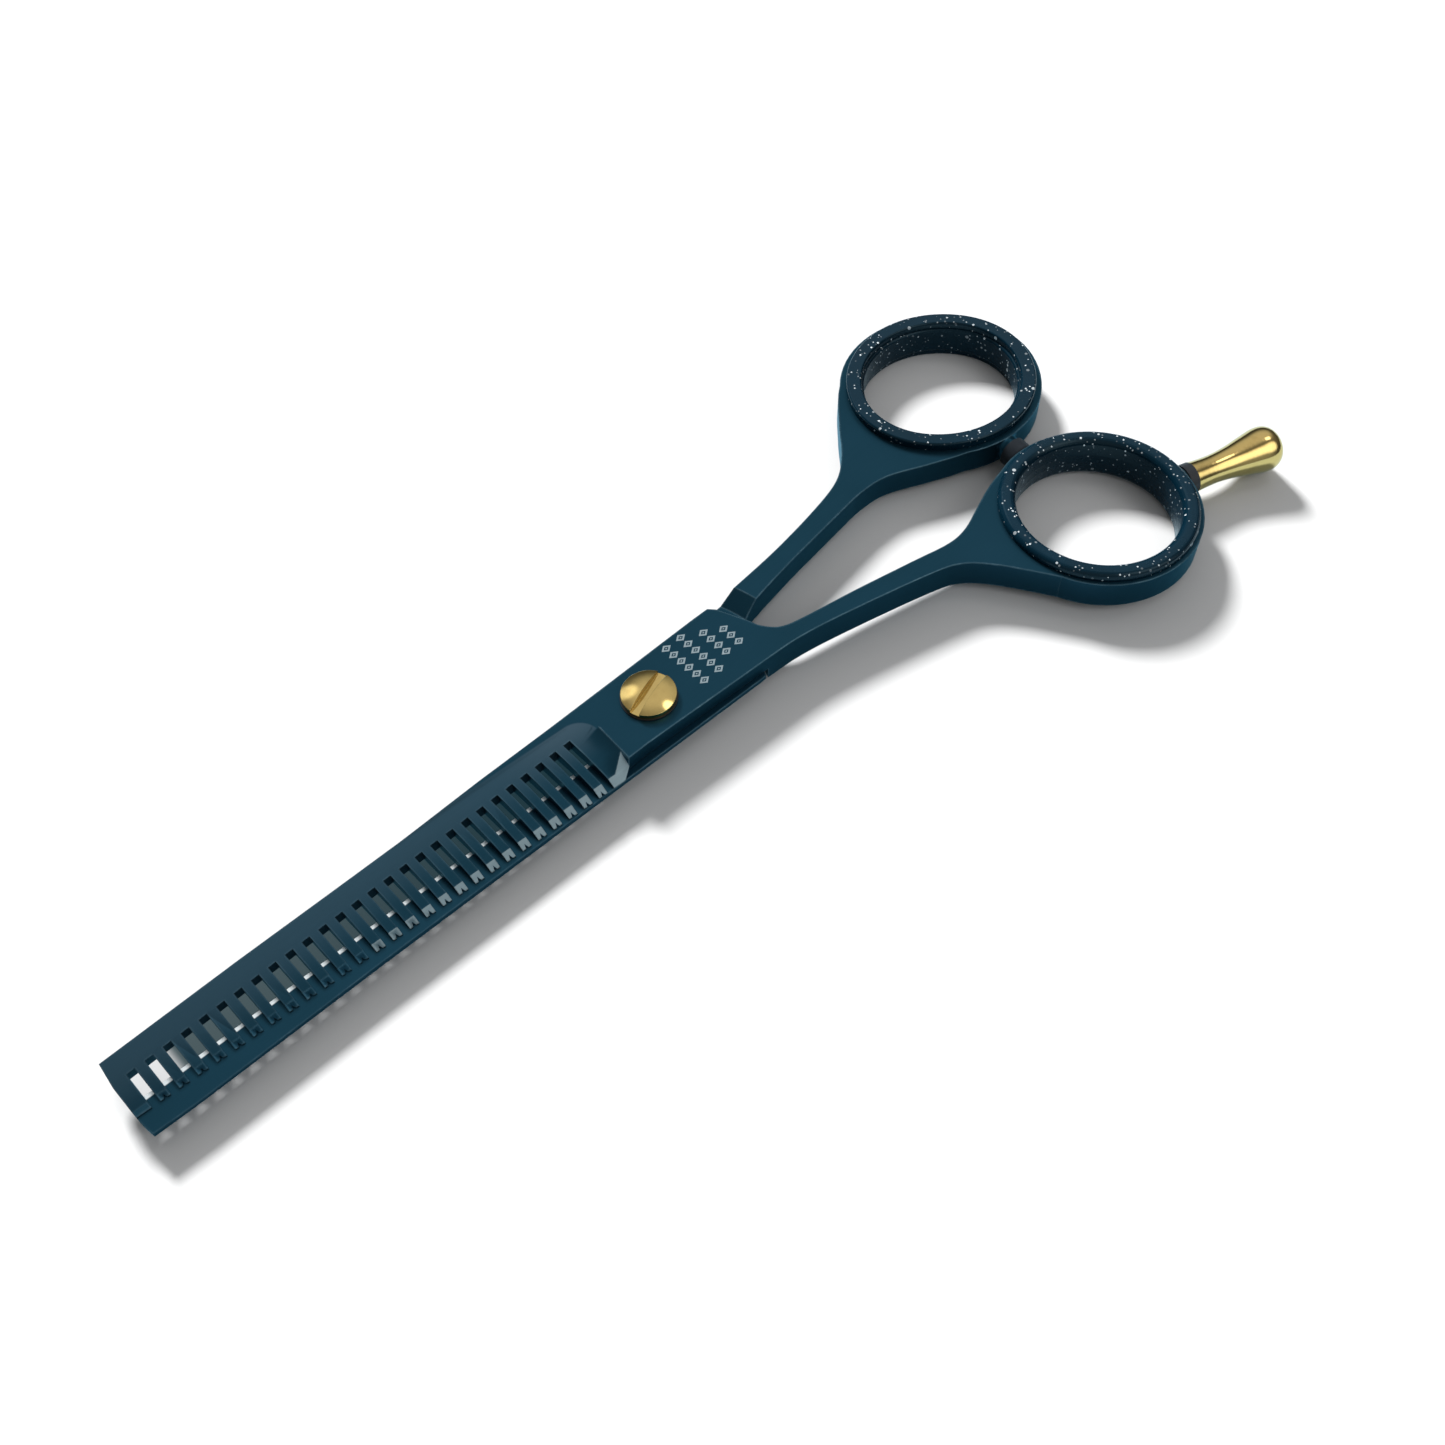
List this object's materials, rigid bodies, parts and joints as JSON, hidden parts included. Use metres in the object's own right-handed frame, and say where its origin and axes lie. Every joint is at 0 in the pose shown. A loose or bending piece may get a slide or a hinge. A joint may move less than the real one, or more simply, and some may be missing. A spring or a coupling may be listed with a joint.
{
  "type": "thinning shears",
  "caption": "Hairdresser's thinning shears: a toothed blade over a plain blade on a slotted pivot screw, ring handles with soft inserts, a bumper and a screw-in finger rest.",
  "frame": {"origin": "the middle of the finger hole, at half the thickness of the finger ring", "axes": "+X from the finger ring towards the blade tips, parallel to the blade; +Y away from the thumb ring; +Z along the finger hole and out of the screw's head. The pivot axis is parallel to +Z at x 57.05 mm, y -17.1 mm, and the blades slide on each other at z -0.2 mm"},
  "size_m": [0.1482, 0.0529, 0.0062],
  "materials": {
    "coating": "satin dark teal-blue coating on steel",
    "gold_metal": "polished gold plating",
    "steel": "turned",
    "glide_plastic": "matte",
    "black_plastic": "matte",
    "glitter_insert": "glossy, with small silver flecks",
    "black_rubber": "matte"
  },
  "bodies": {
    "finger_side": {"toothed_half": "coating", "pivot_bush": "steel", "screw_washer": "black_plastic", "finger_insert": "glitter_insert", "rest_collar": "black_plastic"},
    "thumb_side": {"plain_half": "coating", "screw_socket": "steel", "glide_washer": "glide_plastic", "thumb_insert": "glitter_insert", "bumper": "black_rubber"},
    "tension_screw": {"pivot_screw": "gold_metal"},
    "finger_rest": {"finger_rest": "gold_metal"}
  },
  "joints": [
    {"name": "blades_open", "type": "hinge", "parent": "finger_side", "child": "thumb_side", "pos_m": [0.05705, -0.0171, -0.0002], "axis": [0, 0, 1], "range_deg": [0, 60]},
    {"name": "screw_turn", "type": "hinge", "parent": "thumb_side", "child": "tension_screw", "pos_m": [0.05705, -0.0171, -0.0002], "axis": [0, 0, 1], "range_deg": [-45, 45]},
    {"name": "rest_turn", "type": "hinge", "parent": "finger_side", "child": "finger_rest", "pos_m": [0, 0, 0], "axis": [-0.9511, 0.309, 0], "continuous": true}
  ]
}
